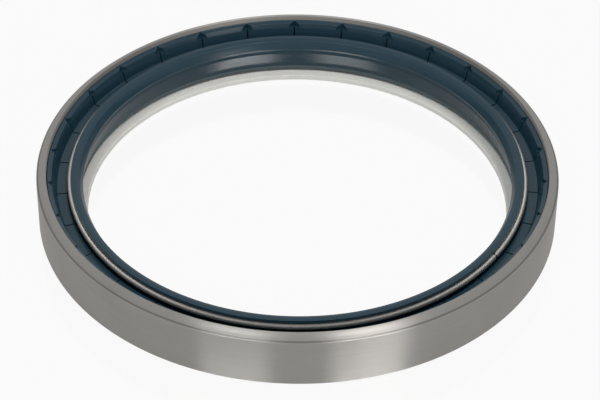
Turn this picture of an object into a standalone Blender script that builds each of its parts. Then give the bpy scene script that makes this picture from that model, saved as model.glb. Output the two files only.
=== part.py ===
"""Wheel hub oil seal: a ground steel case, a moulded rubber lip, a garter spring and a fleece dust ring.

The axis of the ring is Z. The case stands on its flat bottom face at height 0. Sizes are in metres.
Radii are worked inward from the case and heights downward from its rim or upward from its foot.
"""
import math

import bmesh
import bpy

# Driving sizes
CASE_RADIUS = 0.0875
CASE_HEIGHT = 0.0191
RING_STEPS = 96
FIT_GAP = 0.0003

# Steel case
CASE_WALL = 0.0033
CASE_FLANGE_THICKNESS = 0.0025
CASE_FOOT_CHAMFER = 0.0003
CASE_FILLET = 0.0003
RIM_CHAMFER_WIDTH = 0.0008
RIM_CHAMFER_DROP = 0.0006
RIM_CREST_INSET = 0.0030
RIM_CROWN = 0.0025
RIM_OUTER_STEPS = 5
RIM_INNER_STEPS = 1

# Rubber ledge and channel
LEDGE_DROP = 0.00145
LEDGE_WIDTH = 0.0015
LEDGE_SLOPE_DROP = 0.0005
LEDGE_BEVEL = 0.00025
CHANNEL_DEPTH = 0.00535
CHANNEL_WALL_SLOPE = 0.0015
CHANNEL_FOOT_FILLET = 0.0005
CHANNEL_FLOOR_WIDTH = 0.0036
CHANNEL_EDGE_BEVEL = 0.0002
GAP_WIDTH = 0.0016
GAP_FOOT_FILLET = 0.0006
GAP_WALL_TAPER = 0.0002
FLANGE_COVER = 0.0002

# Rubber web and lip
WEB_THICKNESS = 0.0034
LIP_FOOT_THICKNESS = 0.0017
LIP_LEAN = 0.0014
HEAD_DROP = 0.00282
HEAD_DEPTH = 0.0022
HEAD_COVER = 0.00101
HEAD_TOE_THICKNESS = 0.00033
HEAD_TOE_OVERHANG = 0.0018
HEAD_NECK_DROP = 0.0008
HEAD_EDGE_INSET = 0.00035
HEAD_TOP_WIDTH = 0.00155
HEAD_SHOULDER_WIDTH = 0.0012
HEAD_SHOULDER_DROP = 0.00043
SEAL_EDGE_DROP = 0.00255
UNDERCUT_WIDTH = 0.0003
UNDERCUT_DROP = 0.0009
WEAR_BAND_DROP = 0.0012
WEAR_BAND_TAPER = 0.0002
AIR_FACE_FOOT_RISE = 0.0019
BEAD_OVERHANG = 0.00015
BEAD_HEIGHT = 0.0002
BEAD_FOOT_RISE = 0.0008
SKIRT_BEVEL = 0.0004
SKIRT_BEVEL_DROP = 0.0003
SKIRT_RECESS = 0.0010

# Notches in the ledge and slots in the channel
NOTCH_COUNT = 30
NOTCH_PHASE = math.radians(7.2)
NOTCH_DEPTH = 0.0011
NOTCH_TIP_HALF_WIDTH = 0.0003
NOTCH_RUN_OUT = 0.0010
NOTCH_FLARE_HALF_WIDTH = 0.0024
NOTCH_HEIGHT = 0.00195
SLOT_HALF_WIDTH = 0.00025
SLOT_WALL_DEPTH = 0.0002
SLOT_RUN_OUT = 0.0005
SLOT_FLOOR_DEPTH = 0.0007
SLOT_HEIGHT = 0.0048
CUTTER_OVERRUN = 0.0010

# Garter spring
SPRING_TUBE_RADIUS = 0.0010
SPRING_TUBE_STEPS = 8
SPRING_SEAT = 0.0021
GROOVE_GAP = 0.00012
GROOVE_START = math.radians(265)
GROOVE_END = math.radians(108)
GROOVE_STEPS = 6

# Fleece dust ring
FLEECE_THICKNESS = 0.0019
FLEECE_RAISE = 0.0003
FLEECE_REACH = 0.0011
FLEECE_EDGE = 0.0002

SHARP_ANGLE = math.radians(30)

# Radii that several pieces share, from the case inward
CASE_BORE = CASE_RADIUS - CASE_WALL
RUBBER_RADIUS = CASE_BORE - FIT_GAP
LEDGE_RADIUS = RUBBER_RADIUS - LEDGE_WIDTH
CHANNEL_FOOT_RADIUS = LEDGE_RADIUS - CHANNEL_WALL_SLOPE
GAP_RADIUS = CHANNEL_FOOT_RADIUS - CHANNEL_FLOOR_WIDTH
FLANGE_RADIUS = GAP_RADIUS + FLANGE_COVER
WEB_RADIUS = FLANGE_RADIUS - FIT_GAP
LIP_FOOT_RADIUS = GAP_RADIUS - GAP_WIDTH
AIR_FACE_FOOT_RADIUS = LIP_FOOT_RADIUS - LIP_FOOT_THICKNESS
LIP_NECK_RADIUS = LIP_FOOT_RADIUS - LIP_LEAN
SEAL_EDGE_RADIUS = LIP_NECK_RADIUS - HEAD_DEPTH
SPRING_RING_RADIUS = LIP_NECK_RADIUS + SPRING_SEAT
FLEECE_RADIUS = SEAL_EDGE_RADIUS - FLEECE_REACH

# Heights that several pieces share
FLEECE_TOP = FLEECE_RAISE + FLEECE_THICKNESS
WEB_BOTTOM = FLEECE_TOP + FIT_GAP
GAP_BOTTOM = WEB_BOTTOM + WEB_THICKNESS
LEDGE_HEIGHT = CASE_HEIGHT - LEDGE_DROP
CHANNEL_FLOOR = LEDGE_HEIGHT - CHANNEL_DEPTH
HEAD_TOP = CASE_HEIGHT - HEAD_DROP
GROOVE_RADIUS = SPRING_TUBE_RADIUS + GROOVE_GAP
SPRING_HEIGHT = HEAD_TOP - HEAD_COVER - GROOVE_RADIUS


def clear_scene():
    """Remove the objects that a new file holds."""
    for item in list(bpy.data.objects):
        bpy.data.objects.remove(item, do_unlink=True)


def surface(name, colour, roughness, metallic):
    """Make one plain surface material."""
    material = bpy.data.materials.new(name)
    material.use_nodes = True
    shader = material.node_tree.nodes["Principled BSDF"]
    shader.inputs["Base Color"].default_value = (*colour, 1.0)
    shader.inputs["Roughness"].default_value = roughness
    shader.inputs["Metallic"].default_value = metallic
    material.diffuse_color = (*colour, 1.0)
    return material


def steel_surface():
    return surface("case_steel", (0.44, 0.42, 0.40), 0.34, 1.0)


def rubber_surface():
    return surface("blue_rubber", (0.033, 0.060, 0.078), 0.42, 0.0)


def spring_surface():
    return surface("spring_steel", (0.36, 0.36, 0.35), 0.30, 1.0)


def fleece_surface():
    return surface("white_fleece", (0.66, 0.65, 0.61), 0.95, 0.0)


def arc(centre, radius, start, end, steps):
    """Points (radius from the axis, height) along an arc of a section."""
    points = []
    for index in range(steps + 1):
        angle = start + (end - start) * index / steps
        across = centre[0] + radius * math.cos(angle)
        height = centre[1] + radius * math.sin(angle)
        points.append((across, height))
    return points


def link_mesh(name, shape, material):
    """Turn a built shape into a named object with one material."""
    bmesh.ops.recalc_face_normals(shape, faces=shape.faces)
    mesh = bpy.data.meshes.new(name)
    shape.to_mesh(mesh)
    shape.free()
    piece = bpy.data.objects.new(name, mesh)
    bpy.context.scene.collection.objects.link(piece)
    if material is not None:
        mesh.materials.append(material)
    return piece


def turned_ring(name, section, material):
    """Turn a closed section around Z into one solid ring."""
    shape = bmesh.new()
    rings = []
    for step in range(RING_STEPS):
        angle = 2 * math.pi * step / RING_STEPS
        ring = [shape.verts.new((r * math.cos(angle), r * math.sin(angle), z)) for r, z in section]
        rings.append(ring)
    count = len(section)
    for step in range(RING_STEPS):
        near = rings[step]
        far = rings[(step + 1) % RING_STEPS]
        for index in range(count):
            after = (index + 1) % count
            shape.faces.new((near[index], far[index], far[after], near[after]))
    return link_mesh(name, shape, material)


def shade(piece):
    """Smooth the round faces and keep the real edges sharp."""
    for face in piece.data.polygons:
        face.use_smooth = True
    piece.data.set_sharp_from_angle(angle=SHARP_ANGLE)


def case_section():
    """Section of the steel case: a thick wall, a crowned and chamfered rim and a flat bottom flange."""
    crown_centre = (CASE_RADIUS - RIM_CREST_INSET, CASE_HEIGHT - RIM_CROWN)
    crown_start = math.acos((RIM_CREST_INSET - RIM_CHAMFER_WIDTH) / RIM_CROWN)
    crown_end = math.acos((RIM_CREST_INSET - CASE_WALL) / RIM_CROWN)
    outer_crown = arc(crown_centre, RIM_CROWN, crown_start, math.pi / 2, RIM_OUTER_STEPS)
    inner_crown = arc(crown_centre, RIM_CROWN, math.pi / 2, crown_end, RIM_INNER_STEPS)
    section = [
        (CASE_RADIUS - CASE_FOOT_CHAMFER, 0.0),
        (CASE_RADIUS, CASE_FOOT_CHAMFER),
        (CASE_RADIUS, outer_crown[0][1] - RIM_CHAMFER_DROP),
    ]
    section += outer_crown + inner_crown[1:]
    section += [
        (CASE_BORE, CASE_FLANGE_THICKNESS + CASE_FILLET),
        (CASE_BORE - CASE_FILLET, CASE_FLANGE_THICKNESS),
        (FLANGE_RADIUS, CASE_FLANGE_THICKNESS),
        (FLANGE_RADIUS, CASE_FOOT_CHAMFER),
        (FLANGE_RADIUS + CASE_FOOT_CHAMFER, 0.0),
    ]
    return section


def ledge_and_channel_section():
    """Rubber section from the foot in the case, up to the ledge and down into the gap behind the lip."""
    foot = CASE_FLANGE_THICKNESS + FIT_GAP
    ledge_edge = LEDGE_HEIGHT - LEDGE_SLOPE_DROP
    return [
        (RUBBER_RADIUS - CASE_FILLET, foot),
        (RUBBER_RADIUS, foot + CASE_FILLET),
        (RUBBER_RADIUS, LEDGE_HEIGHT),
        (LEDGE_RADIUS + LEDGE_BEVEL, ledge_edge),
        (LEDGE_RADIUS, ledge_edge - LEDGE_BEVEL),
        (CHANNEL_FOOT_RADIUS, CHANNEL_FLOOR + CHANNEL_FOOT_FILLET),
        (CHANNEL_FOOT_RADIUS - CHANNEL_FOOT_FILLET, CHANNEL_FLOOR),
        (GAP_RADIUS + CHANNEL_EDGE_BEVEL, CHANNEL_FLOOR),
        (GAP_RADIUS, CHANNEL_FLOOR - CHANNEL_EDGE_BEVEL),
        (GAP_RADIUS - GAP_WALL_TAPER, GAP_BOTTOM + GAP_FOOT_FILLET),
        (GAP_RADIUS - GAP_WALL_TAPER - GAP_FOOT_FILLET, GAP_BOTTOM),
        (LIP_FOOT_RADIUS, GAP_BOTTOM + GAP_FOOT_FILLET),
    ]


def lip_section():
    """Rubber section up the back of the lip, over its head and down the face in the bore."""
    toe = SPRING_HEIGHT - GROOVE_RADIUS - HEAD_TOE_THICKNESS
    head_edge = SPRING_RING_RADIUS - HEAD_EDGE_INSET
    shoulder = HEAD_TOP - HEAD_SHOULDER_DROP
    seal_edge = shoulder - SEAL_EDGE_DROP
    undercut_foot = seal_edge - UNDERCUT_DROP
    bead = AIR_FACE_FOOT_RADIUS - BEAD_OVERHANG
    bead_top = WEB_BOTTOM + AIR_FACE_FOOT_RISE - BEAD_HEIGHT
    bead_foot = WEB_BOTTOM + BEAD_FOOT_RISE
    section = [
        (LIP_NECK_RADIUS, toe - HEAD_NECK_DROP),
        (LIP_NECK_RADIUS + HEAD_TOE_OVERHANG, toe),
    ]
    groove_centre = (SPRING_RING_RADIUS, SPRING_HEIGHT)
    section += arc(groove_centre, GROOVE_RADIUS, GROOVE_START, GROOVE_END, GROOVE_STEPS)
    section += [
        (head_edge, HEAD_TOP),
        (head_edge - HEAD_TOP_WIDTH, HEAD_TOP),
        (SEAL_EDGE_RADIUS + HEAD_SHOULDER_WIDTH, shoulder),
        (SEAL_EDGE_RADIUS, seal_edge),
        (SEAL_EDGE_RADIUS + UNDERCUT_WIDTH, undercut_foot),
        (SEAL_EDGE_RADIUS + WEAR_BAND_TAPER, undercut_foot - WEAR_BAND_DROP),
        (AIR_FACE_FOOT_RADIUS, WEB_BOTTOM + AIR_FACE_FOOT_RISE),
        (bead, bead_top),
        (bead, bead_foot),
        (bead + SKIRT_BEVEL, bead_foot - SKIRT_BEVEL_DROP),
        (AIR_FACE_FOOT_RADIUS + SKIRT_RECESS, WEB_BOTTOM),
    ]
    return section


def web_section():
    """Rubber section of the web that fills the case flange."""
    return [
        (WEB_RADIUS, WEB_BOTTOM),
        (WEB_RADIUS, CASE_FLANGE_THICKNESS + FIT_GAP),
    ]


def fleece_section():
    """Section of the flat fleece washer, with softened edges at the bore."""
    return [
        (WEB_RADIUS, FLEECE_RAISE),
        (WEB_RADIUS, FLEECE_TOP),
        (FLEECE_RADIUS + FLEECE_EDGE, FLEECE_TOP),
        (FLEECE_RADIUS, FLEECE_TOP - FLEECE_EDGE),
        (FLEECE_RADIUS, FLEECE_RAISE + FLEECE_EDGE),
        (FLEECE_RADIUS + FLEECE_EDGE, FLEECE_RAISE),
    ]


def spring_section():
    """Round section of the garter spring, without a repeated last point."""
    centre = (SPRING_RING_RADIUS, SPRING_HEIGHT)
    return arc(centre, SPRING_TUBE_RADIUS, 0.0, 2 * math.pi, SPRING_TUBE_STEPS)[:-1]


def add_prism(shape, plan, angle, low, high):
    """Add an upright prism with the given plan (outward, sideways), turned by an angle."""
    levels = []
    for height in (low, high):
        level = []
        for outward, sideways in plan:
            x = outward * math.cos(angle) - sideways * math.sin(angle)
            y = outward * math.sin(angle) + sideways * math.cos(angle)
            level.append(shape.verts.new((x, y, height)))
        levels.append(level)
    count = len(plan)
    for index in range(count):
        after = (index + 1) % count
        shape.faces.new((levels[0][index], levels[0][after], levels[1][after], levels[1][index]))
    shape.faces.new(levels[1])
    shape.faces.new(list(reversed(levels[0])))


def cut_all_round(piece, name, plan, low, high):
    """Cut the same upright prism out of a ring at each notch."""
    shape = bmesh.new()
    for index in range(NOTCH_COUNT):
        angle = NOTCH_PHASE + 2 * math.pi * index / NOTCH_COUNT
        add_prism(shape, plan, angle, low, high)
    cutter = link_mesh(name, shape, None)
    cutter.hide_render = True
    cutter.display_type = "WIRE"
    cut = piece.modifiers.new(name, "BOOLEAN")
    cut.operation = "DIFFERENCE"
    cut.solver = "EXACT"
    cut.object = cutter


def cut_notches(piece):
    """Cut the flared notches in the inner edge of the ledge."""
    tip = LEDGE_RADIUS + NOTCH_DEPTH
    mouth = LEDGE_RADIUS - NOTCH_RUN_OUT
    plan = [
        (tip, -NOTCH_TIP_HALF_WIDTH),
        (tip, NOTCH_TIP_HALF_WIDTH),
        (mouth, NOTCH_FLARE_HALF_WIDTH),
        (mouth, -NOTCH_FLARE_HALF_WIDTH),
    ]
    cut_all_round(piece, "notch_cutter", plan, LEDGE_HEIGHT - NOTCH_HEIGHT, CASE_HEIGHT + CUTTER_OVERRUN)


def cut_slots(piece):
    """Cut the thin slots down the channel wall and across its floor."""
    outer = LEDGE_RADIUS + SLOT_WALL_DEPTH
    inner = GAP_RADIUS - SLOT_RUN_OUT
    low = CHANNEL_FLOOR - SLOT_FLOOR_DEPTH
    plan = [
        (outer, -SLOT_HALF_WIDTH),
        (outer, SLOT_HALF_WIDTH),
        (inner, SLOT_HALF_WIDTH),
        (inner, -SLOT_HALF_WIDTH),
    ]
    cut_all_round(piece, "slot_cutter", plan, low, low + SLOT_HEIGHT)


def make_case():
    case = turned_ring("outer_case", case_section(), steel_surface())
    shade(case)


def make_lip():
    section = ledge_and_channel_section() + lip_section() + web_section()
    lip = turned_ring("sealing_lip", section, rubber_surface())
    shade(lip)
    cut_slots(lip)
    cut_notches(lip)


def make_spring():
    spring = turned_ring("garter_spring", spring_section(), spring_surface())
    shade(spring)


def make_dust_ring():
    ring = turned_ring("dust_ring", fleece_section(), fleece_surface())
    shade(ring)


def main():
    clear_scene()
    make_case()
    make_lip()
    make_spring()
    make_dust_ring()


main()
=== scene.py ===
"""Wheel hub oil seal: the finished looks of the steel case, rubber lip, garter spring and fleece washer.

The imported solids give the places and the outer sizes. Each solid is replaced by a finely modelled piece
in the same frame, in metres, with the ring's axis along Z and the case standing on height 0.
Radii are worked inward from the case and heights downward from its rim or upward from its foot.
"""
import math

import bmesh
import bpy
from bpy.props import FloatProperty, FloatVectorProperty, IntProperty, PointerProperty
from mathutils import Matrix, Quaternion, Vector


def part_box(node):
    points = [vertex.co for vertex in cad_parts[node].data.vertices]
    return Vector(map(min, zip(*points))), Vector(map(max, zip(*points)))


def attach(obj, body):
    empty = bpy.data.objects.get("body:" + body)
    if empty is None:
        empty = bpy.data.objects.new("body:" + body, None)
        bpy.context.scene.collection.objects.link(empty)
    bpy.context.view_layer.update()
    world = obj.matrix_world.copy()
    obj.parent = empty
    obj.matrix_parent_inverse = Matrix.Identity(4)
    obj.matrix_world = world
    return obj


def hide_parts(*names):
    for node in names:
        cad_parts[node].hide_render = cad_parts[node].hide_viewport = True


bl_info = {
    "name": "Wheel hub oil seal",
    "version": (1, 0, 0),
    "blender": (4, 5, 0),
    "location": "3D View > Sidebar > Oil seal",
    "description": "Models a wheel hub oil seal: steel case, rubber lip, garter spring and fleece washer",
    "category": "Add Mesh",
}

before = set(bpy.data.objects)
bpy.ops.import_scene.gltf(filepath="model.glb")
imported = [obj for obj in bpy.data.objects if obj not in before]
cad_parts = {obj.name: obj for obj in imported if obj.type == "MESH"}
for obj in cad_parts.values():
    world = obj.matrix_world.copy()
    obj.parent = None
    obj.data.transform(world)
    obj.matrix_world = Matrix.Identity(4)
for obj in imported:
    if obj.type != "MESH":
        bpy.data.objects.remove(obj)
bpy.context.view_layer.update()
CASE_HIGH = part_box("outer_case")[1]
SPRING_LOW, SPRING_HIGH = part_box("garter_spring")
FLEECE_LOW, FLEECE_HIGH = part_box("dust_ring")

BODY = "root"
ARC_STEP = math.radians(15)
SMOOTH_ANGLE = math.radians(32)
MERGE_DISTANCE = 0.000002
SEED_PLANE = 0.001


class SealSizes(bpy.types.PropertyGroup):
    """The sizes that drive the four pieces."""

    case_radius: FloatProperty(
        name="Case radius", description="Outer radius of the ground steel case",
        default=CASE_HIGH.x, unit="LENGTH")
    case_height: FloatProperty(
        name="Case height", description="Height from the foot to the crest of the rim",
        default=CASE_HIGH.z, unit="LENGTH")
    case_wall: FloatProperty(
        name="Case wall", description="Thickness of the steel wall under the rim",
        default=0.0033, unit="LENGTH")
    flange_thickness: FloatProperty(
        name="Flange thickness", description="Thickness of the flange at the foot of the case",
        default=0.0025, unit="LENGTH")
    fit_gap: FloatProperty(
        name="Fit gap", description="Gap between pieces that touch",
        default=0.0003, unit="LENGTH")
    ledge_width: FloatProperty(
        name="Ledge width", description="Width of the rubber ledge inside the rim",
        default=0.0015, unit="LENGTH")
    channel_depth: FloatProperty(
        name="Channel depth", description="Depth of the rubber channel under the ledge",
        default=0.00535, unit="LENGTH")
    channel_width: FloatProperty(
        name="Channel width", description="Width of the floor of the rubber channel",
        default=0.0036, unit="LENGTH")
    gap_width: FloatProperty(
        name="Gap width", description="Width of the deep gap behind the lip",
        default=0.0016, unit="LENGTH")
    lip_thickness: FloatProperty(
        name="Lip thickness", description="Thickness of the rubber where the lip starts",
        default=0.0017, unit="LENGTH")
    lip_lean: FloatProperty(
        name="Lip lean", description="How far the back of the lip leans in up to its neck",
        default=0.0014, unit="LENGTH")
    head_depth: FloatProperty(
        name="Head depth", description="From the back of the neck to the sealing edge",
        default=0.0022, unit="LENGTH")
    head_drop: FloatProperty(
        name="Head drop", description="How far the head of the lip lies below the rim",
        default=0.00282, unit="LENGTH")
    notch_count: IntProperty(
        name="Notches", description="Number of notches in the ledge and of slots in the channel",
        default=30, min=1)
    notch_phase: FloatProperty(
        name="Notch phase", description="Turn of the first notch from the X axis",
        default=math.radians(7.2), subtype="ANGLE")
    spring_tube: FloatProperty(
        name="Spring tube radius", description="Outer radius of the wound coil",
        default=(SPRING_HIGH.z - SPRING_LOW.z) / 2, unit="LENGTH")
    spring_turns: IntProperty(
        name="Spring turns", description="Turns of wire that fit round the whole ring",
        default=1180, min=100)
    spring_joint: FloatProperty(
        name="Spring joint", description="Turn of the joint in the spring from the X axis",
        default=math.radians(237), subtype="ANGLE")
    fleece_reach: FloatProperty(
        name="Fleece reach", description="How far the fleece reaches in past the sealing edge",
        default=0.0011, unit="LENGTH")
    ring_steps: IntProperty(
        name="Ring steps", description="Faces around each turned piece",
        default=360, min=12)


class SealColours(bpy.types.PropertyGroup):
    """The colours of the four pieces and the floor."""

    steel: FloatVectorProperty(
        name="Steel", description="Ground steel of the case",
        subtype="COLOR", default=(0.490, 0.474, 0.452), min=0, max=1)
    spring: FloatVectorProperty(
        name="Spring wire", description="Drawn wire of the garter spring",
        subtype="COLOR", default=(0.480, 0.464, 0.442), min=0, max=1)
    rubber: FloatVectorProperty(
        name="Rubber", description="Dark blue moulded rubber",
        subtype="COLOR", default=(0.015, 0.045, 0.067), min=0, max=1)
    fleece: FloatVectorProperty(
        name="Fleece", description="Off-white pressed fleece",
        subtype="COLOR", default=(0.95, 0.94, 0.90), min=0, max=1)
    floor: FloatVectorProperty(
        name="Floor", description="Pale studio floor",
        subtype="COLOR", default=(0.50, 0.50, 0.50), min=0, max=1)


# Small shapes of the steel case
CASE_FOOT_ROUNDING = 0.0003
CASE_FILLET = 0.0003
RIM_CHAMFER_WIDTH = 0.0008
RIM_CHAMFER_DROP = 0.0006
RIM_CHAMFER_ROUNDING = 0.0003
RIM_CREST_INSET = 0.0030
RIM_CROWN = 0.0025
RIM_CROWN_STEPS = 12

# Small shapes of the ledge and the channel
LEDGE_DROP = 0.00145
LEDGE_BAND_WIDTH = 0.0002
LEDGE_STEP = 0.0001
LEDGE_SLOPE_DROP = 0.0005
LEDGE_ROUNDING = 0.0003
CHANNEL_WALL_SLOPE = 0.0015
CHANNEL_FOOT_ROUNDING = 0.0006
CHANNEL_EDGE_ROUNDING = 0.0003
GAP_ROUNDING = 0.0007
FLANGE_COVER = 0.0002
WEB_THICKNESS = 0.0034
WEB_ROUNDING = 0.0003

# Small shapes of the lip
GROOVE_GAP = 0.00012
GROOVE_START = math.radians(265)
GROOVE_END = math.radians(108)
GROOVE_STEPS = 16
SPRING_SEAT = 0.0021
HEAD_COVER = 0.00101
HEAD_TOE_THICKNESS = 0.00033
HEAD_TOE_OVERHANG = 0.0018
HEAD_TOE_ROUNDING = 0.0001
HEAD_NECK_DROP = 0.0008
HEAD_NECK_ROUNDING = 0.0012
HEAD_EDGE_INSET = 0.00035
HEAD_EDGE_ROUNDING = 0.0001
HEAD_TOP_WIDTH = 0.00155
HEAD_TOP_ROUNDING = 0.0006
HEAD_SHOULDER_WIDTH = 0.0012
HEAD_SHOULDER_DROP = 0.00043
HEAD_SHOULDER_ROUNDING = 0.0003
SEAL_EDGE_DROP = 0.00255
SEAL_EDGE_ROUNDING = 0.00012
UNDERCUT_WIDTH = 0.0003
UNDERCUT_DROP = 0.0009
UNDERCUT_ROUNDING = 0.0005
WEAR_BAND_DROP = 0.0012
WEAR_BAND_TAPER = 0.0002
WEAR_BAND_ROUNDING = 0.0006
AIR_FACE_FOOT_RISE = 0.0019
BEAD_OVERHANG = 0.00015
BEAD_HEIGHT = 0.0002
BEAD_ROUNDING = 0.00008
BEAD_FOOT_RISE = 0.0008
SKIRT_BEVEL = 0.0004
SKIRT_BEVEL_DROP = 0.0003
SKIRT_RECESS = 0.0010

# Cutters for the notches and the slots
NOTCH_DEPTH = 0.0012
NOTCH_TIP_ROUNDING = 0.00045
NOTCH_TIP_SIDES = 20
NOTCH_REACH = 0.0014
NOTCH_FLARE = 5.0
NOTCH_HEIGHT = 0.00195
NOTCH_OVERRUN = 0.0010
SLOT_WIDTH = 0.0005
SLOT_WALL_DEPTH = 0.0002
SLOT_RUN_OUT = 0.0008
SLOT_FLOOR_DEPTH = 0.0007
SLOT_HEIGHT = 0.0048

# Wire of the spring
WIRE_SHARE = 0.47
WIRE_SIDES = 5
TURN_STEPS = 12
JOINT_GAP_TURNS = 2
NIB_SHARE = 0.62
NIB_TURNS = 6
CIRCLE_RESOLUTION = 64

# Fleece
FLEECE_ROUNDING = 0.00025
FLEECE_POINT_SPACING = 0.0005
FLEECE_RING_STEPS = 720
FLEECE_LUMP_SIZE = 0.0009
FLEECE_LUMP_HEIGHT = 0.00022

# Noises of the finishes, as scale, detail and roughness
STEEL_STAINS = (55.0, 4.0, 0.6)
RUBBER_CLOUDS = (90.0, 3.0, 0.55)
RUBBER_GRAIN = (2600.0, 2.0, 0.6)
WIRE_MARKS = (1400.0, 3.0, 0.6)
FLEECE_CLUMPS = (700.0, 4.0, 0.65)
FLEECE_FIBRES = (3200.0, 3.0, 0.7)
FLEECE_PATCHES = (28.0, 3.0, 0.5)
TURNING_NOISE = (1.0, 3.0, 0.6)

# Lines round the ring, as their scale along and across the turn
STEEL_FINE_LINES = (60.0, 9000.0)
STEEL_COARSE_LINES = (25.0, 1600.0)
RUBBER_BLOOM_LINES = (30.0, 700.0)

# Ranges of a noise, from where a mark starts to where it is full
STEEL_STAIN_RANGE = (0.45, 0.75)
STEEL_WEAR_RANGE = (0.30, 0.70)
RUBBER_BLOOM_RANGE = (0.45, 0.80)
FLEECE_PATCH_RANGE = (0.40, 0.70)

# Shades of a colour, as the shares of it at its darkest and lightest
STEEL_SHADES = (0.93, 1.07)
RUBBER_SHADES = (0.82, 1.18)
WIRE_SHADES = (0.78, 1.16)
FLEECE_SHADES = (0.84, 1.14)

# Bumps, as strength and depth
STEEL_BUMP = (0.04, 0.00010)
RUBBER_BUMP = (0.05, 0.00008)
WIRE_BUMP = (0.10, 0.00005)
FLEECE_BUMP = (0.45, 0.0003)

# Finish of the steel: its stains, and the rim, chamfer and bore wall with their roughness and painted shade
FINE_LINES_SHARE = 0.55
GRINDING_TURN = 0.25
STAIN_SHARE = 0.35
STAIN_SHADE = 0.85
RIM_PAINTED_SHADE_SHARE = 0.6
RIM_PAINTED_SHADE = 0.90
CHAMFER_PAINTED_SHADE_SHARE = 0.8
CHAMFER_PAINTED_SHADE = 0.35
BORE_WALL_PAINTED_SHADE = 0.85
RIM_FINISH_BLEND = 0.0002
RIM_FINISH_DEPTH = 0.0019
RIM_BORE_BLEND = 0.0001
STEEL_ROUGHNESS = 0.28
STAIN_ROUGHNESS = 0.04
LINE_ROUGHNESS = 0.03
RIM_ROUGHNESS = 0.12
BORE_ROUGHNESS = 0.4

# Finish of the rubber: its bloom, and a lighter grey band on the bead at the foot of the lip's face
BLOOM_SHARE = 0.25
BLOOM_SHADE = 1.6
BEAD_GREY = (0.17, 0.20, 0.20)
BEAD_GREY_BLEND = 0.0003
BEAD_GREY_SHARE = 0.4
RUBBER_SPECULAR = 0.36
RUBBER_ROUGHNESS = 0.19
CLOUD_ROUGHNESS = 0.06
GRAIN_ROUGHNESS = 0.02

# Finish of the spring wire
WIRE_ROUGHNESS = 0.48
MARK_ROUGHNESS = 0.14

# Finish of the fleece
CLUMPS_SHARE = 0.6
PATCH_COLOUR = (0.60, 0.57, 0.49)
PATCH_SHARE = 0.3
FLEECE_SPECULAR = 0.2
FLEECE_ROUGHNESS = 0.88
FIBRE_ROUGHNESS = 0.1

# Shader nodes: plain colours, and the sockets of the Mix node that blends colours
BLACK = (0.0, 0.0, 0.0, 1.0)
WHITE = (1.0, 1.0, 1.0, 1.0)
MIX_SHARE = 0
MIX_FIRST = 6
MIX_SECOND = 7
MIX_RESULT = 2

# Camera
CAMERA_LENS = 146.3
CAMERA_SENSOR = 36.0
CAMERA_DISTANCE = 0.8246
CAMERA_ELEVATION = math.radians(39.27)
CAMERA_TARGET_HEIGHT = 0.0088
CAMERA_PITCH = math.radians(-0.343)
CAMERA_YAW = math.radians(-0.063)
CAMERA_ROLL = math.radians(0.6)

# Studio
FLOOR_SIZE = 8.0
FLOOR_DROP = 0.00005
FLOOR_WHITE_SHARE = 0.92
FLOOR_WHITE_SHARE_IN_GLOSS = 0.03
FLOOR_GLOSS = 0.65
FLOOR_GLOSS_ROUGHNESS = 0.06
SURROUND_STRENGTH = 0.46
SURROUND_WHITE_SHARE_IN_GLOSS = 0.34
RIGHT_SOFTBOX_PLACE = (0.25, -0.28, 0.75)
RIGHT_SOFTBOX_SIZE = (0.28, 0.15)
RIGHT_SOFTBOX_POWER = 1.7
RIGHT_SOFTBOX_COLOUR = (1.0, 0.975, 0.965)
LEFT_SOFTBOX_PLACE = (-0.205, -0.28, 0.75)
LEFT_SOFTBOX_SIZE = (0.26, 0.15)
LEFT_SOFTBOX_POWER = 1.1
LEFT_SOFTBOX_COLOUR = (0.965, 1.0, 0.975)
LOW_SOFTBOX_PLACE = (0.55, -0.83, 0.14)
LOW_SOFTBOX_SIZE = (0.35, 0.20)
LOW_SOFTBOX_POWER = 0.6
LOW_SOFTBOX_COLOUR = (1.0, 1.0, 1.0)


class Places:
    """Radii and heights that several pieces share, worked out from the driving sizes."""

    def __init__(self, sizes):
        self.case_bore = sizes.case_radius - sizes.case_wall
        self.rubber = self.case_bore - sizes.fit_gap
        self.ledge = self.rubber - sizes.ledge_width
        self.channel_foot = self.ledge - CHANNEL_WALL_SLOPE
        self.gap = self.channel_foot - sizes.channel_width
        self.flange = self.gap + FLANGE_COVER
        self.web = self.flange - sizes.fit_gap
        self.lip_foot = self.gap - sizes.gap_width
        self.air_face_foot = self.lip_foot - sizes.lip_thickness
        self.neck = self.lip_foot - sizes.lip_lean
        self.seal_edge = self.neck - sizes.head_depth
        self.spring = self.neck + SPRING_SEAT
        self.fleece = self.seal_edge - sizes.fleece_reach
        self.ledge_height = sizes.case_height - LEDGE_DROP
        self.channel_floor = self.ledge_height - sizes.channel_depth
        self.head_top = sizes.case_height - sizes.head_drop
        self.groove = sizes.spring_tube + GROOVE_GAP
        self.spring_height = self.head_top - HEAD_COVER - self.groove
        self.web_bottom = FLEECE_HIGH.z + sizes.fit_gap
        self.gap_bottom = self.web_bottom + WEB_THICKNESS
        self.foot_top = sizes.flange_thickness + sizes.fit_gap


# Sections, as corners (radius from the axis, height, rounding)

def arc_corners(centre, radius, start, end, steps):
    """Corners without rounding along an arc of a section."""
    corners = []
    for index in range(steps + 1):
        angle = start + (end - start) * index / steps
        across = centre[0] + radius * math.cos(angle)
        height = centre[1] + radius * math.sin(angle)
        corners.append((across, height, 0.0))
    return corners


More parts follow.
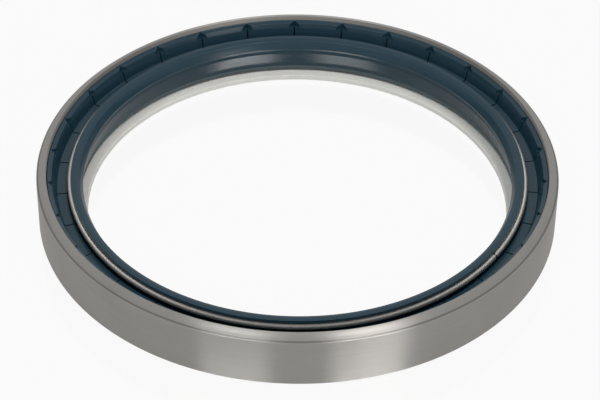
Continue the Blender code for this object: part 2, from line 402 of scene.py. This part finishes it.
def rounded(corners):
    """Turn corners (radius, height, rounding) into the points of a closed section."""
    points = []
    for index, (across, height, rounding) in enumerate(corners):
        corner = Vector((across, height))
        if rounding == 0:
            points.append(corner)
            continue
        after = corners[(index + 1) % len(corners)]
        inward = (Vector(corners[index - 1][:2]) - corner).normalized()
        onward = (Vector(after[:2]) - corner).normalized()
        half = inward.angle(onward) / 2
        centre = corner + (inward + onward).normalized() * rounding / math.sin(half)
        from_centre = corner + inward * rounding / math.tan(half) - centre
        to_centre = corner + onward * rounding / math.tan(half) - centre
        sweep = math.pi - 2 * half
        steps = max(1, math.ceil(sweep / ARC_STEP))
        for step in range(steps + 1):
            share = step / steps
            first = math.sin((1 - share) * sweep) / math.sin(sweep)
            second = math.sin(share * sweep) / math.sin(sweep)
            points.append(centre + from_centre * first + to_centre * second)
    return points


def spaced(points, spacing):
    """Add points along the long sides of a closed section."""
    close = []
    for index, here in enumerate(points):
        after = points[(index + 1) % len(points)]
        steps = max(1, round((after - here).length / spacing))
        close += [here.lerp(after, step / steps) for step in range(steps)]
    return close


def case_corners(sizes, places):
    """Corners of the steel case: wall, chamfered and crowned rim, bore and foot flange."""
    crown_centre = (sizes.case_radius - RIM_CREST_INSET, sizes.case_height - RIM_CROWN)
    crown_start = math.acos((RIM_CREST_INSET - RIM_CHAMFER_WIDTH) / RIM_CROWN)
    crown_end = math.acos((RIM_CREST_INSET - sizes.case_wall) / RIM_CROWN)
    crown = arc_corners(crown_centre, RIM_CROWN, crown_start, crown_end, RIM_CROWN_STEPS)
    corners = [
        (sizes.case_radius, 0.0, CASE_FOOT_ROUNDING),
        (sizes.case_radius, crown[0][1] - RIM_CHAMFER_DROP, RIM_CHAMFER_ROUNDING),
    ]
    corners += crown + [
        (places.case_bore, sizes.flange_thickness, CASE_FILLET),
        (places.flange, sizes.flange_thickness, 0.0),
        (places.flange, 0.0, CASE_FOOT_ROUNDING),
    ]
    return corners


def channel_corners(places):
    """Corners of the rubber from its foot in the case over the ledge and down into the gap."""
    band = places.rubber - LEDGE_BAND_WIDTH
    return [
        (places.rubber, places.foot_top, CASE_FILLET),
        (places.rubber, places.ledge_height, 0.0),
        (band, places.ledge_height, 0.0),
        (band - LEDGE_STEP, places.ledge_height - LEDGE_STEP, 0.0),
        (places.ledge, places.ledge_height - LEDGE_SLOPE_DROP, LEDGE_ROUNDING),
        (places.channel_foot, places.channel_floor, CHANNEL_FOOT_ROUNDING),
        (places.gap, places.channel_floor, CHANNEL_EDGE_ROUNDING),
        (places.gap, places.gap_bottom, GAP_ROUNDING),
        (places.lip_foot, places.gap_bottom, GAP_ROUNDING),
    ]


def head_corners(places):
    """Corners of the rubber up the back of the lip and round its head down to the sealing edge."""
    toe = places.spring_height - places.groove - HEAD_TOE_THICKNESS
    head_edge = places.spring - HEAD_EDGE_INSET
    shoulder = places.head_top - HEAD_SHOULDER_DROP
    seal_edge = shoulder - SEAL_EDGE_DROP
    undercut_foot = seal_edge - UNDERCUT_DROP
    corners = [
        (places.neck, toe - HEAD_NECK_DROP, HEAD_NECK_ROUNDING),
        (places.neck + HEAD_TOE_OVERHANG, toe, HEAD_TOE_ROUNDING),
    ]
    groove_centre = (places.spring, places.spring_height)
    corners += arc_corners(groove_centre, places.groove, GROOVE_START, GROOVE_END, GROOVE_STEPS)
    corners += [
        (head_edge, places.head_top, HEAD_EDGE_ROUNDING),
        (head_edge - HEAD_TOP_WIDTH, places.head_top, HEAD_TOP_ROUNDING),
        (places.seal_edge + HEAD_SHOULDER_WIDTH, shoulder, HEAD_SHOULDER_ROUNDING),
        (places.seal_edge, seal_edge, SEAL_EDGE_ROUNDING),
        (places.seal_edge + UNDERCUT_WIDTH, undercut_foot, UNDERCUT_ROUNDING),
        (places.seal_edge + WEAR_BAND_TAPER, undercut_foot - WEAR_BAND_DROP, WEAR_BAND_ROUNDING),
    ]
    return corners


def skirt_corners(places):
    """Corners of the rubber from the foot of the lip's face to the web in the flange of the case."""
    bead = places.air_face_foot - BEAD_OVERHANG
    face_foot = places.web_bottom + AIR_FACE_FOOT_RISE
    bead_foot = places.web_bottom + BEAD_FOOT_RISE
    return [
        (places.air_face_foot, face_foot, BEAD_ROUNDING),
        (bead, face_foot - BEAD_HEIGHT, BEAD_ROUNDING),
        (bead, bead_foot, BEAD_ROUNDING),
        (bead + SKIRT_BEVEL, bead_foot - SKIRT_BEVEL_DROP, 0.0),
        (places.air_face_foot + SKIRT_RECESS, places.web_bottom, WEB_ROUNDING),
        (places.web, places.web_bottom, 0.0),
        (places.web, places.foot_top, 0.0),
    ]


def fleece_corners(places):
    """Corners of the fleece washer."""
    return [
        (places.web, FLEECE_LOW.z, FLEECE_ROUNDING),
        (places.web, FLEECE_HIGH.z, FLEECE_ROUNDING),
        (places.fleece, FLEECE_HIGH.z, FLEECE_ROUNDING),
        (places.fleece, FLEECE_LOW.z, FLEECE_ROUNDING),
    ]


# Modelling steps

def pick_alone(piece):
    """Deselect everything and make one piece the active one."""
    bpy.ops.object.select_all(action="DESELECT")
    piece.select_set(True)
    bpy.context.view_layer.objects.active = piece


def edit(piece):
    """Go into edit mode on one piece alone, with all of it selected."""
    pick_alone(piece)
    bpy.ops.object.mode_set(mode="EDIT")
    bpy.ops.mesh.select_mode(type="VERT")
    bpy.ops.mesh.select_all(action="SELECT")


def leave_edit():
    bpy.ops.object.mode_set(mode="OBJECT")


def named(name):
    """Name the primitive that was just added, and its mesh."""
    piece = bpy.context.object
    piece.name = name
    piece.data.name = name
    return piece


def apply_place(piece):
    """Put a piece's place, turn and scale into its mesh."""
    pick_alone(piece)
    bpy.ops.object.transform_apply(location=True, rotation=True, scale=True)


def apply_modifier(piece, modifier):
    pick_alone(piece)
    bpy.ops.object.modifier_apply(modifier=modifier.name)


def smooth(piece):
    """Shade a piece smooth with sharp real edges."""
    pick_alone(piece)
    bpy.ops.object.shade_smooth_by_angle(angle=SMOOTH_ANGLE)


def draw_section(name, points):
    """Shrink a small plane to one point and extrude it from point to point round a closed section."""
    bpy.ops.object.select_all(action="DESELECT")
    bpy.ops.mesh.primitive_plane_add(size=SEED_PLANE)
    piece = named(name)
    edit(piece)
    bpy.ops.mesh.merge(type="CENTER")
    bpy.ops.transform.translate(value=(points[0].x, 0.0, points[0].y))
    for here, after in zip(points, points[1:] + points[:1]):
        step = (after.x - here.x, 0.0, after.y - here.y)
        bpy.ops.mesh.extrude_region_move(TRANSFORM_OT_translate={"value": step})
    bpy.ops.mesh.select_all(action="SELECT")
    bpy.ops.mesh.remove_doubles(threshold=MERGE_DISTANCE)
    leave_edit()
    return piece


def turn_section(piece, steps):
    """Spin a section once round Z and close it into a solid ring with its faces outward."""
    edit(piece)
    bpy.ops.mesh.spin(steps=steps, angle=2 * math.pi, center=(0.0, 0.0, 0.0), axis=(0.0, 0.0, 1.0))
    bpy.ops.mesh.select_all(action="SELECT")
    bpy.ops.mesh.remove_doubles(threshold=MERGE_DISTANCE)
    bpy.ops.mesh.normals_make_consistent(inside=False)
    leave_edit()


def repeat_round(piece, count, phase):
    """Turn a cutter by the phase and copy it round Z inside its own mesh."""
    piece.rotation_euler.z = phase
    apply_place(piece)
    edit(piece)
    bpy.ops.mesh.spin(
        steps=count - 1, angle=2 * math.pi * (count - 1) / count,
        center=(0.0, 0.0, 0.0), axis=(0.0, 0.0, 1.0), dupli=True)
    bpy.ops.mesh.select_all(action="SELECT")
    bpy.ops.mesh.normals_make_consistent(inside=False)
    leave_edit()


def cut_away(piece, cutter):
    """Cut one piece with another and throw the cutter away."""
    cut = piece.modifiers.new(cutter.name, "BOOLEAN")
    cut.operation = "DIFFERENCE"
    cut.solver = "EXACT"
    cut.object = cutter
    apply_modifier(piece, cut)
    bpy.data.objects.remove(cutter, do_unlink=True)


def notch_cutter(sizes, places):
    """Half a round post whose flat side, towards the axis, is pulled out and flared into a V."""
    tip = places.ledge + NOTCH_DEPTH - NOTCH_TIP_ROUNDING
    bottom = places.ledge_height - NOTCH_HEIGHT
    height = NOTCH_HEIGHT + NOTCH_OVERRUN
    bpy.ops.object.select_all(action="DESELECT")
    bpy.ops.mesh.primitive_cylinder_add(
        vertices=NOTCH_TIP_SIDES, radius=NOTCH_TIP_ROUNDING, depth=height,
        location=(tip, 0.0, bottom + height / 2))
    cutter = named("notch_cutter")
    apply_place(cutter)
    edit(cutter)
    bpy.ops.mesh.bisect(
        plane_co=(tip, 0.0, 0.0), plane_no=(1.0, 0.0, 0.0), use_fill=True, clear_inner=True)
    shape = bmesh.from_edit_mesh(cutter.data)
    for face in shape.faces:
        face.select_set(False)
    for face in shape.faces:
        flat_side = max(vertex.co.x for vertex in face.verts) < tip + MERGE_DISTANCE
        if flat_side:
            face.select_set(True)
    bmesh.update_edit_mesh(cutter.data)
    bpy.ops.mesh.extrude_region_move(TRANSFORM_OT_translate={"value": (-NOTCH_REACH, 0.0, 0.0)})
    bpy.ops.transform.resize(value=(1.0, NOTCH_FLARE, 1.0))
    leave_edit()
    repeat_round(cutter, sizes.notch_count, sizes.notch_phase)
    return cutter


def slot_cutter(sizes, places):
    """A thin upright plate that reaches from the gap across the channel floor and into its wall."""
    inner = places.gap - SLOT_RUN_OUT
    length = places.ledge + SLOT_WALL_DEPTH - inner
    bottom = places.channel_floor - SLOT_FLOOR_DEPTH
    bpy.ops.object.select_all(action="DESELECT")
    bpy.ops.mesh.primitive_cube_add(
        size=1.0, scale=(length, SLOT_WIDTH, SLOT_HEIGHT),
        location=(inner + length / 2, 0.0, bottom + SLOT_HEIGHT / 2))
    cutter = named("slot_cutter")
    apply_place(cutter)
    repeat_round(cutter, sizes.notch_count, sizes.notch_phase)
    return cutter


def straight_coil(name, wire, tube, pitch, turns, start):
    """Screw a small ring of wire into one turn along X and repeat it into a straight coil."""
    bpy.ops.object.select_all(action="DESELECT")
    bpy.ops.mesh.primitive_circle_add(
        vertices=WIRE_SIDES, radius=wire, fill_type="NOTHING",
        location=(start, 0.0, tube - wire), rotation=(math.pi / 2, 0.0, 0.0))
    coil = named(name)
    apply_place(coil)
    screw = coil.modifiers.new("one_turn", "SCREW")
    screw.axis = "X"
    screw.angle = 2 * math.pi
    screw.screw_offset = pitch
    screw.steps = TURN_STEPS
    screw.render_steps = TURN_STEPS
    apply_modifier(coil, screw)
    row = coil.modifiers.new("all_turns", "ARRAY")
    row.count = turns
    row.use_relative_offset = False
    row.use_constant_offset = True
    row.constant_offset_displace = (pitch, 0.0, 0.0)
    row.use_merge_vertices = True
    row.merge_threshold = MERGE_DISTANCE
    apply_modifier(coil, row)
    return coil


def close_wire_ends(piece):
    """Cap the open ends of the wire and point its faces outward."""
    edit(piece)
    bpy.ops.mesh.select_all(action="DESELECT")
    bpy.ops.mesh.select_mode(type="EDGE")
    bpy.ops.mesh.select_non_manifold()
    bpy.ops.mesh.fill_holes(sides=WIRE_SIDES)
    bpy.ops.mesh.select_mode(type="VERT")
    bpy.ops.mesh.select_all(action="SELECT")
    bpy.ops.mesh.normals_make_consistent(inside=False)
    leave_edit()


def bend_round(piece, radius, height, turn):
    """Bend a straight piece along X onto a circle round Z."""
    bpy.ops.object.select_all(action="DESELECT")
    bpy.ops.curve.primitive_bezier_circle_add(radius=radius)
    circle = bpy.context.object
    circle.data.resolution_u = CIRCLE_RESOLUTION
    follow = piece.modifiers.new("round_the_ring", "CURVE")
    follow.object = circle
    follow.deform_axis = "POS_X"
    apply_modifier(piece, follow)
    bpy.data.objects.remove(circle, do_unlink=True)
    piece.location = (0.0, 0.0, height)
    piece.rotation_euler = (0.0, 0.0, turn - math.pi)
    apply_place(piece)


# Finishes

class Wire:
    """A number, colour or shader that runs between the nodes of a finish."""

    def __init__(self, finish, socket):
        self.finish = finish
        self.socket = socket

    def work_out(self, operation, first, second):
        return self.finish.add("ShaderNodeMath", {"operation": operation}, {0: first, 1: second})

    def __add__(self, other):
        return self.work_out("ADD", self, other)

    def __radd__(self, other):
        return self.work_out("ADD", other, self)

    def __sub__(self, other):
        return self.work_out("SUBTRACT", self, other)

    def __rsub__(self, other):
        return self.work_out("SUBTRACT", other, self)

    def __mul__(self, other):
        return self.work_out("MULTIPLY", self, other)

    def __rmul__(self, other):
        return self.work_out("MULTIPLY", other, self)

    def __pow__(self, other):
        return self.work_out("POWER", self, other)


class Finish:
    """The nodes of one material or of the world."""

    def __init__(self, owner):
        owner.use_nodes = True
        self.owner = owner
        self.nodes = owner.node_tree.nodes
        self.links = owner.node_tree.links
        self.nodes.clear()

    def new_node(self, kind, settings=None, inputs=None):
        """Add a node, set it up and feed its sockets."""
        node = self.nodes.new(kind)
        for setting, value in (settings or {}).items():
            if setting == "stops":
                self.set_stops(node.color_ramp, value)
            else:
                setattr(node, setting, value)
        for key, value in (inputs or {}).items():
            if isinstance(value, Wire):
                self.links.new(value.socket, node.inputs[key])
            else:
                node.inputs[key].default_value = value
        return node

    def add(self, kind, settings=None, inputs=None, output=0):
        """Add a node and return one of its outputs."""
        node = self.new_node(kind, settings, inputs)
        return Wire(self, node.outputs[output])

    def set_stops(self, ramp, stops):
        """Give a colour ramp its stops (place, colour)."""
        for element, (place, colour) in zip(ramp.elements, stops):
            element.position = place
            element.color = colour

    def ramp(self, value, low, high):
        """Black up to one value and white from another."""
        return self.add("ShaderNodeValToRGB", {"stops": ((low, BLACK), (high, WHITE))}, {"Fac": value})

    def noise(self, vector, scale, detail, roughness):
        return self.add(
            "ShaderNodeTexNoise", None,
            {"Vector": vector, "Scale": scale, "Detail": detail, "Roughness": roughness})

    def blend(self, share, first, second):
        """Blend two colours."""
        return self.add(
            "ShaderNodeMix", {"data_type": "RGBA"},
            {MIX_SHARE: share, MIX_FIRST: first, MIX_SECOND: second}, output=MIX_RESULT)

    def shaded(self, share, colour, shades):
        """Blend the darkest and the lightest shade of one colour."""
        return self.blend(share, opaque(colour, shades[0]), opaque(colour, shades[1]))

    def layer(self, share, under, over):
        """Lay one shader over another by a share."""
        return self.add("ShaderNodeMixShader", None, {0: share, 1: under, 2: over})

    def between(self, value, low, high):
        """0 up to one value and 1 from another, with an even climb in between."""
        return self.add(
            "ShaderNodeMapRange", None, {"Value": value, "From Min": low, "From Max": high})

    def vector(self, x, y, z):
        return self.add("ShaderNodeCombineXYZ", None, {"X": x, "Y": y, "Z": z})

    def place(self):
        """The place on the piece."""
        return self.add("ShaderNodeTexCoord", output="Object")

    def axes(self):
        """The place on the piece, as X, Y, Z and the distance from the ring's axis."""
        node = self.new_node("ShaderNodeSeparateXYZ", None, {"Vector": self.place()})
        x = Wire(self, node.outputs["X"])
        y = Wire(self, node.outputs["Y"])
        z = Wire(self, node.outputs["Z"])
        return x, y, z, (x * x + y * y) ** 0.5

    def turning_lines(self, along, across):
        """Fine lines round the ring, as a lathe or a grinding wheel leaves."""
        x, y, z, radius = self.axes()
        return self.noise(self.vector(x * along, y * along, (z + radius) * across), *TURNING_NOISE)

    def bump(self, height, strength, distance):
        return self.add(
            "ShaderNodeBump", None, {"Height": height, "Strength": strength, "Distance": distance})

    def surface(self, inputs):
        """Finish the material with one main shader."""
        self.send_out("ShaderNodeOutputMaterial", self.add("ShaderNodeBsdfPrincipled", None, inputs))
        return self.owner

    def send_out(self, kind, shader):
        self.new_node(kind, None, {"Surface": shader})


def opaque(colour, share=1.0):
    """A colour with full alpha, made lighter or darker by a share."""
    return (colour[0] * share, colour[1] * share, colour[2] * share, 1.0)


def ground_steel(sizes, places, colours):
    """Steel ground round the ring: fine lines, faint stains, a rougher rim and bore, and painted shade on
    the rim, the bore wall and, darkest, the chamfer.
    """
    finish = Finish(bpy.data.materials.new("ground_steel"))
    fine = finish.turning_lines(*STEEL_FINE_LINES)
    coarse = finish.turning_lines(*STEEL_COARSE_LINES)
    stains = finish.ramp(finish.noise(finish.place(), *STEEL_STAINS), *STEEL_STAIN_RANGE)
    x, y, z, radius = finish.axes()
    crown_edge = sizes.case_radius - RIM_CHAMFER_WIDTH
    rim_foot = sizes.case_height - RIM_FINISH_DEPTH
    high = finish.between(z, rim_foot, rim_foot + RIM_FINISH_BLEND)
    inside = finish.between(radius, crown_edge + RIM_FINISH_BLEND, crown_edge)
    rim = high * inside
    bore = places.case_bore + RIM_BORE_BLEND
    bore_wall = high * finish.between(radius, bore + RIM_BORE_BLEND, bore)
    chamfer = high * (1.0 - inside)
    lines = fine * FINE_LINES_SHARE + coarse * (1 - FINE_LINES_SHARE)
    light = finish.shaded(finish.ramp(lines, *STEEL_WEAR_RANGE), colours.steel, STEEL_SHADES)
    stained = finish.blend(stains * STAIN_SHARE, light, opaque(colours.steel, STAIN_SHADE))
    # Painted shade: the rim top is darkened a little, standing in for the dark surroundings it reflects.
    rim_shaded = finish.blend(rim * RIM_PAINTED_SHADE_SHARE, stained, opaque(colours.steel, RIM_PAINTED_SHADE))
    # Painted shade: the outer chamfer of the rim is darkened strongly, standing in for the dark
    # surroundings it reflects.
    chamfer_shaded = finish.blend(chamfer * CHAMFER_PAINTED_SHADE_SHARE, rim_shaded, opaque(colours.steel, CHAMFER_PAINTED_SHADE))
    # Painted shade: the bore wall inside the rim is darkened.
    colour = finish.blend(bore_wall, chamfer_shaded, opaque(colours.steel, BORE_WALL_PAINTED_SHADE))
    marked = STEEL_ROUGHNESS + stains * STAIN_ROUGHNESS + fine * LINE_ROUGHNESS
    return finish.surface({
        "Base Color": colour,
        "Metallic": 1.0,
        "Roughness": marked + rim * RIM_ROUGHNESS + bore_wall * BORE_ROUGHNESS,
        "Anisotropic": 1.0,
        "Anisotropic Rotation": GRINDING_TURN,
        "Normal": finish.bump(lines, *STEEL_BUMP),
    })


def moulded_rubber(places, colours):
    """Dark blue rubber: a fine moulded grain, cloudy colour, uneven gloss and a lighter grey band on the
    bead at the foot.
    """
    finish = Finish(bpy.data.materials.new("moulded_rubber"))
    place = finish.place()
    clouds = finish.noise(place, *RUBBER_CLOUDS)
    grain = finish.noise(place, *RUBBER_GRAIN)
    bloom = finish.ramp(finish.turning_lines(*RUBBER_BLOOM_LINES), *RUBBER_BLOOM_RANGE)
    height = finish.axes()[2]
    bead_foot = places.web_bottom + BEAD_FOOT_RISE
    bead_top = places.web_bottom + AIR_FACE_FOOT_RISE
    above = finish.between(height, bead_foot - BEAD_GREY_BLEND, bead_foot)
    below = finish.between(height, bead_top + BEAD_GREY_BLEND, bead_top)
    mottled = finish.shaded(clouds, colours.rubber, RUBBER_SHADES)
    bloomed = finish.blend(bloom * BLOOM_SHARE, mottled, opaque(colours.rubber, BLOOM_SHADE))
    # A lighter grey band painted on the bead at the foot of the lip's face.
    colour = finish.blend(above * below * BEAD_GREY_SHARE, bloomed, opaque(BEAD_GREY))
    return finish.surface({
        "Base Color": colour,
        "Roughness": RUBBER_ROUGHNESS + clouds * CLOUD_ROUGHNESS + grain * GRAIN_ROUGHNESS,
        "Specular IOR Level": RUBBER_SPECULAR,
        "Normal": finish.bump(grain, *RUBBER_BUMP),
    })


def spring_wire(colours):
    """Satin drawn wire with faint dark draw marks."""
    finish = Finish(bpy.data.materials.new("spring_wire"))
    marks = finish.noise(finish.place(), *WIRE_MARKS)
    return finish.surface({
        "Base Color": finish.shaded(marks, colours.spring, WIRE_SHADES),
        "Metallic": 1.0,
        "Roughness": WIRE_ROUGHNESS + marks * MARK_ROUGHNESS,
        "Normal": finish.bump(marks, *WIRE_BUMP),
    })


def pressed_fleece(colours):
    """Off-white fleece: matted fibres in soft lumps, with a few greyer and yellower places."""
    finish = Finish(bpy.data.materials.new("pressed_fleece"))
    place = finish.place()
    clumps = finish.noise(place, *FLEECE_CLUMPS)
    fibres = finish.noise(place, *FLEECE_FIBRES)
    patches = finish.ramp(finish.noise(place, *FLEECE_PATCHES), *FLEECE_PATCH_RANGE)
    pile = clumps * CLUMPS_SHARE + fibres * (1 - CLUMPS_SHARE)
    light = finish.shaded(pile, colours.fleece, FLEECE_SHADES)
    return finish.surface({
        "Base Color": finish.blend(patches * PATCH_SHARE, light, opaque(PATCH_COLOUR)),
        "Roughness": FLEECE_ROUGHNESS + fibres * FIBRE_ROUGHNESS,
        "Specular IOR Level": FLEECE_SPECULAR,
        "Normal": finish.bump(pile, *FLEECE_BUMP),
    })


def white_share(finish, seen, in_gloss):
    """How much plain white shows: one share where it is seen, one in gloss and none in other light."""
    node = finish.new_node("ShaderNodeLightPath")
    camera = Wire(finish, node.outputs["Is Camera Ray"])
    through = Wire(finish, node.outputs["Is Transmission Ray"])
    glossy = Wire(finish, node.outputs["Is Glossy Ray"])
    return (camera + through) * seen + glossy * in_gloss


def studio_floor(colours):
    """A pale, glossy floor that shows nearly white and keeps a soft shadow."""
    finish = Finish(bpy.data.materials.new("studio_floor"))
    matt = finish.add("ShaderNodeBsdfDiffuse", None, {"Color": opaque(colours.floor)})
    gloss = finish.add("ShaderNodeBsdfGlossy", None, {"Roughness": FLOOR_GLOSS_ROUGHNESS})
    polished = finish.layer(FLOOR_GLOSS, matt, gloss)
    white = finish.add("ShaderNodeEmission", None, {"Strength": 1.0})
    share = white_share(finish, FLOOR_WHITE_SHARE, FLOOR_WHITE_SHARE_IN_GLOSS)
    finish.send_out("ShaderNodeOutputMaterial", finish.layer(share, polished, white))
    return finish.owner


def light_world():
    """A plain white surround that lights the seal softly."""
    world = bpy.data.worlds.new("surround")
    finish = Finish(world)
    soft = finish.add("ShaderNodeBackground", None, {"Color": WHITE, "Strength": SURROUND_STRENGTH})
    white = finish.add("ShaderNodeBackground", None, {"Color": WHITE, "Strength": 1.0})
    share = white_share(finish, 1.0, SURROUND_WHITE_SHARE_IN_GLOSS)
    finish.send_out("ShaderNodeOutputWorld", finish.layer(share, soft, white))
    bpy.context.scene.world = world


def dress(piece, material, node):
    """Give a piece its material and its place in the frame."""
    piece.data.materials.clear()
    piece.data.materials.append(material)
    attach(piece, BODY)
    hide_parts(node)


# Pieces and stage, one operator each

class SEAL_OT_make_case(bpy.types.Operator):
    """Turn the ground steel case"""

    bl_idname = "seal.make_case"
    bl_label = "Make case"

    def execute(self, context):
        sizes = context.scene.seal_sizes
        places = Places(sizes)
        corners = case_corners(sizes, places)
        case = draw_section("steel_case", rounded(corners))
        turn_section(case, sizes.ring_steps)
        smooth(case)
        dress(case, ground_steel(sizes, places, context.scene.seal_colours), "outer_case")
        return {"FINISHED"}


class SEAL_OT_make_lip(bpy.types.Operator):
    """Turn the moulded rubber lip and cut its slots and notches"""

    bl_idname = "seal.make_lip"
    bl_label = "Make lip"

    def execute(self, context):
        sizes = context.scene.seal_sizes
        places = Places(sizes)
        corners = channel_corners(places) + head_corners(places) + skirt_corners(places)
        lip = draw_section("rubber_lip", rounded(corners))
        turn_section(lip, sizes.ring_steps)
        cut_away(lip, slot_cutter(sizes, places))
        cut_away(lip, notch_cutter(sizes, places))
        smooth(lip)
        dress(lip, moulded_rubber(places, context.scene.seal_colours), "sealing_lip")
        return {"FINISHED"}


class SEAL_OT_make_spring(bpy.types.Operator):
    """Wind the garter spring and hook its thin end into its other end"""

    bl_idname = "seal.make_spring"
    bl_label = "Make spring"

    def execute(self, context):
        sizes = context.scene.seal_sizes
        places = Places(sizes)
        pitch = 2 * math.pi * places.spring / sizes.spring_turns
        wire = pitch * WIRE_SHARE
        turns = sizes.spring_turns - JOINT_GAP_TURNS
        spring = straight_coil(
            "wound_spring", wire, sizes.spring_tube, pitch, turns, pitch * JOINT_GAP_TURNS / 2)
        nib = straight_coil(
            "spring_nib", wire, sizes.spring_tube * NIB_SHARE, pitch, NIB_TURNS, -pitch * NIB_TURNS / 2)
        for coil in (spring, nib):
            close_wire_ends(coil)
            bend_round(coil, places.spring, places.spring_height, sizes.spring_joint)
        pick_alone(spring)
        nib.select_set(True)
        bpy.ops.object.join()
        smooth(spring)
        dress(spring, spring_wire(context.scene.seal_colours), "garter_spring")
        return {"FINISHED"}


class SEAL_OT_make_fleece(bpy.types.Operator):
    """Lay the lumpy fleece washer in the foot of the case"""

    bl_idname = "seal.make_fleece"
    bl_label = "Make fleece washer"

    def execute(self, context):
        sizes = context.scene.seal_sizes
        points = spaced(rounded(fleece_corners(Places(sizes))), FLEECE_POINT_SPACING)
        fleece = draw_section("fleece_washer", points)
        turn_section(fleece, FLEECE_RING_STEPS)
        lumps = bpy.data.textures.new("fleece_lumps", "CLOUDS")
        lumps.noise_scale = FLEECE_LUMP_SIZE
        push = fleece.modifiers.new("lumps", "DISPLACE")
        push.texture = lumps
        push.strength = FLEECE_LUMP_HEIGHT
        push.mid_level = 0.5
        apply_modifier(fleece, push)
        smooth(fleece)
        dress(fleece, pressed_fleece(context.scene.seal_colours), "dust_ring")
        return {"FINISHED"}


def add_softbox(name, place, size, power, colour):
    """Add a soft rectangular light that faces the middle of the seal."""
    turn = (-Vector(place)).to_track_quat("-Z", "Y").to_euler()
    bpy.ops.object.select_all(action="DESELECT")
    bpy.ops.object.light_add(type="AREA", location=place, rotation=turn)
    light = bpy.context.object
    light.name = name
    light.data.shape = "RECTANGLE"
    light.data.size = size[0]
    light.data.size_y = size[1]
    light.data.energy = power
    light.data.color = colour


def add_lights():
    """Light the seal from the right, somewhat less from the left, and faintly from low on the right."""
    add_softbox(
        "right_softbox", RIGHT_SOFTBOX_PLACE, RIGHT_SOFTBOX_SIZE, RIGHT_SOFTBOX_POWER, RIGHT_SOFTBOX_COLOUR)
    add_softbox(
        "left_softbox", LEFT_SOFTBOX_PLACE, LEFT_SOFTBOX_SIZE, LEFT_SOFTBOX_POWER, LEFT_SOFTBOX_COLOUR)
    add_softbox(
        "low_softbox", LOW_SOFTBOX_PLACE, LOW_SOFTBOX_SIZE, LOW_SOFTBOX_POWER, LOW_SOFTBOX_COLOUR)


def add_camera():
    """Look at the seal from in front and above, with small turns that set it in the picture."""
    across = CAMERA_DISTANCE * math.cos(CAMERA_ELEVATION)
    height = CAMERA_TARGET_HEIGHT + CAMERA_DISTANCE * math.sin(CAMERA_ELEVATION)
    aim = Quaternion((1.0, 0.0, 0.0), math.pi / 2 - CAMERA_ELEVATION + CAMERA_PITCH)
    side = Quaternion((0.0, 1.0, 0.0), CAMERA_YAW)
    roll = Quaternion((0.0, 0.0, 1.0), CAMERA_ROLL)
    bpy.ops.object.camera_add(location=(0.0, -across, height), rotation=(aim @ side @ roll).to_euler())
    camera = bpy.context.object
    camera.name = "studio_camera"
    camera.data.lens = CAMERA_LENS
    camera.data.sensor_width = CAMERA_SENSOR
    bpy.context.scene.camera = camera


def add_floor(colours):
    bpy.ops.object.select_all(action="DESELECT")
    bpy.ops.mesh.primitive_plane_add(size=FLOOR_SIZE, location=(0.0, 0.0, -FLOOR_DROP))
    floor = named("studio_floor")
    apply_place(floor)
    floor.data.materials.append(studio_floor(colours))


class SEAL_OT_make_stage(bpy.types.Operator):
    """Set up the floor, the soft lights, the surround and the camera"""

    bl_idname = "seal.make_stage"
    bl_label = "Make stage"

    def execute(self, context):
        add_floor(context.scene.seal_colours)
        add_lights()
        light_world()
        add_camera()
        context.scene.view_settings.view_transform = "Standard"
        return {"FINISHED"}


class VIEW3D_PT_seal(bpy.types.Panel):
    """Sizes, colours and the steps that make the seal"""

    bl_label = "Wheel hub oil seal"
    bl_space_type = "VIEW_3D"
    bl_region_type = "UI"
    bl_category = "Oil seal"

    def draw(self, context):
        for group in (context.scene.seal_sizes, context.scene.seal_colours):
            column = self.layout.column()
            for name in group.__annotations__:
                column.prop(group, name)
        column = self.layout.column()
        for step in STEPS:
            column.operator(step.bl_idname)


STEPS = (
    SEAL_OT_make_case,
    SEAL_OT_make_lip,
    SEAL_OT_make_spring,
    SEAL_OT_make_fleece,
    SEAL_OT_make_stage,
)
CLASSES = (SealSizes, SealColours) + STEPS + (VIEW3D_PT_seal,)


def register():
    for kind in CLASSES:
        bpy.utils.register_class(kind)
    bpy.types.Scene.seal_sizes = PointerProperty(type=SealSizes)
    bpy.types.Scene.seal_colours = PointerProperty(type=SealColours)


def unregister():
    del bpy.types.Scene.seal_colours
    del bpy.types.Scene.seal_sizes
    for kind in reversed(CLASSES):
        bpy.utils.unregister_class(kind)


def main():
    register()
    bpy.ops.seal.make_case()
    bpy.ops.seal.make_lip()
    bpy.ops.seal.make_spring()
    bpy.ops.seal.make_fleece()
    bpy.ops.seal.make_stage()


if __name__ == "__main__":
    main()
